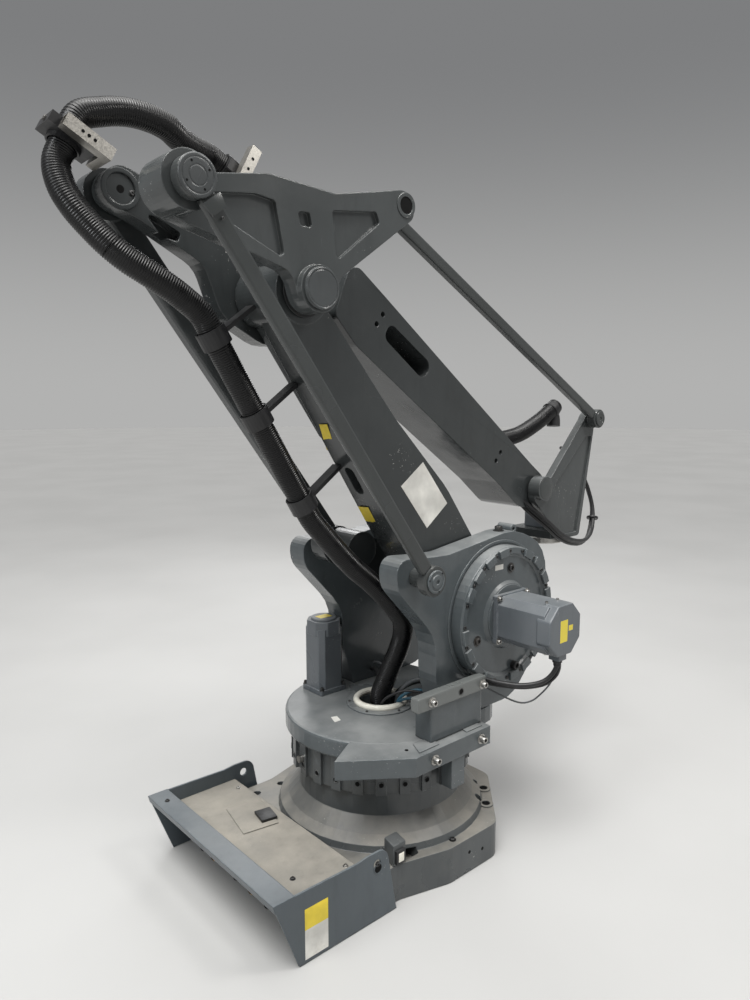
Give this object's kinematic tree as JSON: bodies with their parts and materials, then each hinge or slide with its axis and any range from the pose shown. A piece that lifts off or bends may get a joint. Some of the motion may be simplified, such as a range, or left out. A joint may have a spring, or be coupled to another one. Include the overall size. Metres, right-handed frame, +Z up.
{
  "type": "industrial robot arm, four-axis palletising type",
  "caption": "Palletising robot arm on a cast base: turret with two side gearboxes, parallel-link lower and upper arms and a level wrist flange.",
  "frame": {"origin": "point on the floor below axis 1, the vertical axis of the turntable", "axes": "+X from axis 1 towards the wrist, +Z up, -Y towards the side that carries the axis 2 motor"},
  "size_m": [2.2846, 1.116, 2.3046],
  "materials": {
    "base_paint": "semi-gloss blue-grey enamel with dust",
    "arm_paint": "semi-gloss darker blue-grey enamel",
    "motor_paint": "satin blue-grey enamel",
    "steel": "machined, slightly oily",
    "black_plastic": "matt corrugated hose and clamps",
    "white_plastic": "smooth off-white",
    "dusty_sheet": "grey sheet under thick dust",
    "aluminium": "extruded, satin"
  },
  "bodies": {
    "base": {"base_casting": "base_paint", "stop_ring": "base_paint", "stop_pin": "steel", "rear_cover": "base_paint", "connector_box": "dusty_sheet", "tray_cover": "dusty_sheet", "connector_panel": "steel"},
    "turret": {"turntable": "base_paint", "cable_ring": "white_plastic", "near_side_frame": "base_paint", "far_side_frame": "base_paint", "axis_2_gearbox": "base_paint", "axis_2_motor": "motor_paint", "axis_3_gearbox": "base_paint", "axis_3_motor": "motor_paint", "axis_1_motor": "motor_paint", "stop_bar": "base_paint", "frame_link_pin": "steel", "hose_base_loop": "black_plastic"},
    "lower_arm": {"lower_arm": "arm_paint", "elbow_shaft": "steel", "hose_lower_arm": "black_plastic", "hose_rear_riser": "black_plastic", "hose_clamp_low": "black_plastic", "hose_clamp_middle": "black_plastic", "hose_clamp_high": "black_plastic"},
    "lower_link_rod": {"lower_link_rod": "arm_paint"},
    "elbow_link": {"elbow_link": "arm_paint", "elbow_cap": "arm_paint", "link_pin_left": "steel", "link_pin_right": "steel"},
    "upper_arm": {"upper_arm": "arm_paint", "rear_pin": "steel", "wrist_pin": "steel", "hose_upper_arm": "black_plastic", "hose_clamp_far": "black_plastic", "hose_clamp_front": "black_plastic", "hose_clamp_rear": "black_plastic", "hose_clamp_top": "black_plastic", "hose_bracket_rear": "aluminium", "hose_bracket_top": "aluminium"},
    "crank": {"crank": "arm_paint"},
    "crank_pin": {"crank_pin": "steel"},
    "parallel_rod": {"parallel_rod": "arm_paint"},
    "upper_link_rod": {"upper_link_rod": "arm_paint"},
    "wrist": {"tilt_housing": "arm_paint", "wrist_top_pin": "steel", "axis_6_motor": "motor_paint"},
    "tool_flange": {"tool_flange": "steel"}
  },
  "joints": [
    {"name": "axis_1", "type": "hinge", "parent": "base", "child": "turret", "pos_m": [0, 0, 0.405], "axis": [0, 0, 1], "range_deg": [-180, 180]},
    {"name": "axis_2", "type": "hinge", "parent": "turret", "child": "lower_arm", "pos_m": [0.3, 0, 0.8], "axis": [0, 1, 0], "range_deg": [-5.5, 121.5], "deforming": ["hose_base_loop"]},
    {"name": "lower_rod_foot", "type": "hinge", "parent": "turret", "child": "lower_link_rod", "pos_m": [-0.105, 0, 0.991], "axis": [0, 1, 0], "range_deg": [-5.5, 121.5]},
    {"name": "elbow_link_turn", "type": "hinge", "parent": "lower_arm", "child": "elbow_link", "pos_m": [-0.46137, 0, 1.82894], "axis": [0, 1, 0], "range_deg": [-121.5, 5.5]},
    {"name": "axis_3", "type": "hinge", "parent": "elbow_link", "child": "upper_arm", "pos_m": [-0.46137, 0, 1.82894], "axis": [0, 1, 0], "range_deg": [-48.3, 5], "deforming": ["hose_rear_riser"]},
    {"name": "crank_turn", "type": "hinge", "parent": "turret", "child": "crank", "pos_m": [0.3, 0, 0.8], "axis": [0, 1, 0], "range_deg": [-48.3, 5]},
    {"name": "crank_pin_turn", "type": "hinge", "parent": "crank", "child": "crank_pin", "pos_m": [-0.11112, 0, 1.0384], "axis": [0, 1, 0], "range_deg": [-5, 48.3]},
    {"name": "parallel_rod_foot", "type": "hinge", "parent": "crank_pin", "child": "parallel_rod", "pos_m": [-0.11112, 0, 1.0384], "axis": [0, 1, 0], "range_deg": [-5.5, 121.5]},
    {"name": "upper_rod_head", "type": "hinge", "parent": "elbow_link", "child": "upper_link_rod", "pos_m": [-0.13037, 0, 2.09794], "axis": [0, 1, 0], "range_deg": [-48.3, 5]},
    {"name": "wrist_level", "type": "hinge", "parent": "upper_arm", "child": "wrist", "pos_m": [0.72728, 0, 1.18892], "axis": [0, 1, 0], "range_deg": [-5, 48.3]},
    {"name": "axis_6", "type": "hinge", "parent": "wrist", "child": "tool_flange", "pos_m": [0.92728, 0, 0.93892], "axis": [0, 0, 1], "range_deg": [-300, 300]}
  ],
  "couplings": [
    {"joint": "lower_rod_foot", "follows": "axis_2", "ratio": 1},
    {"joint": "elbow_link_turn", "follows": "axis_2", "ratio": -1},
    {"joint": "parallel_rod_foot", "follows": "axis_2", "ratio": 1},
    {"joint": "crank_turn", "follows": "axis_3", "ratio": 1},
    {"joint": "crank_pin_turn", "follows": "axis_3", "ratio": -1},
    {"joint": "upper_rod_head", "follows": "axis_3", "ratio": 1},
    {"joint": "wrist_level", "follows": "axis_3", "ratio": -1}
  ]
}
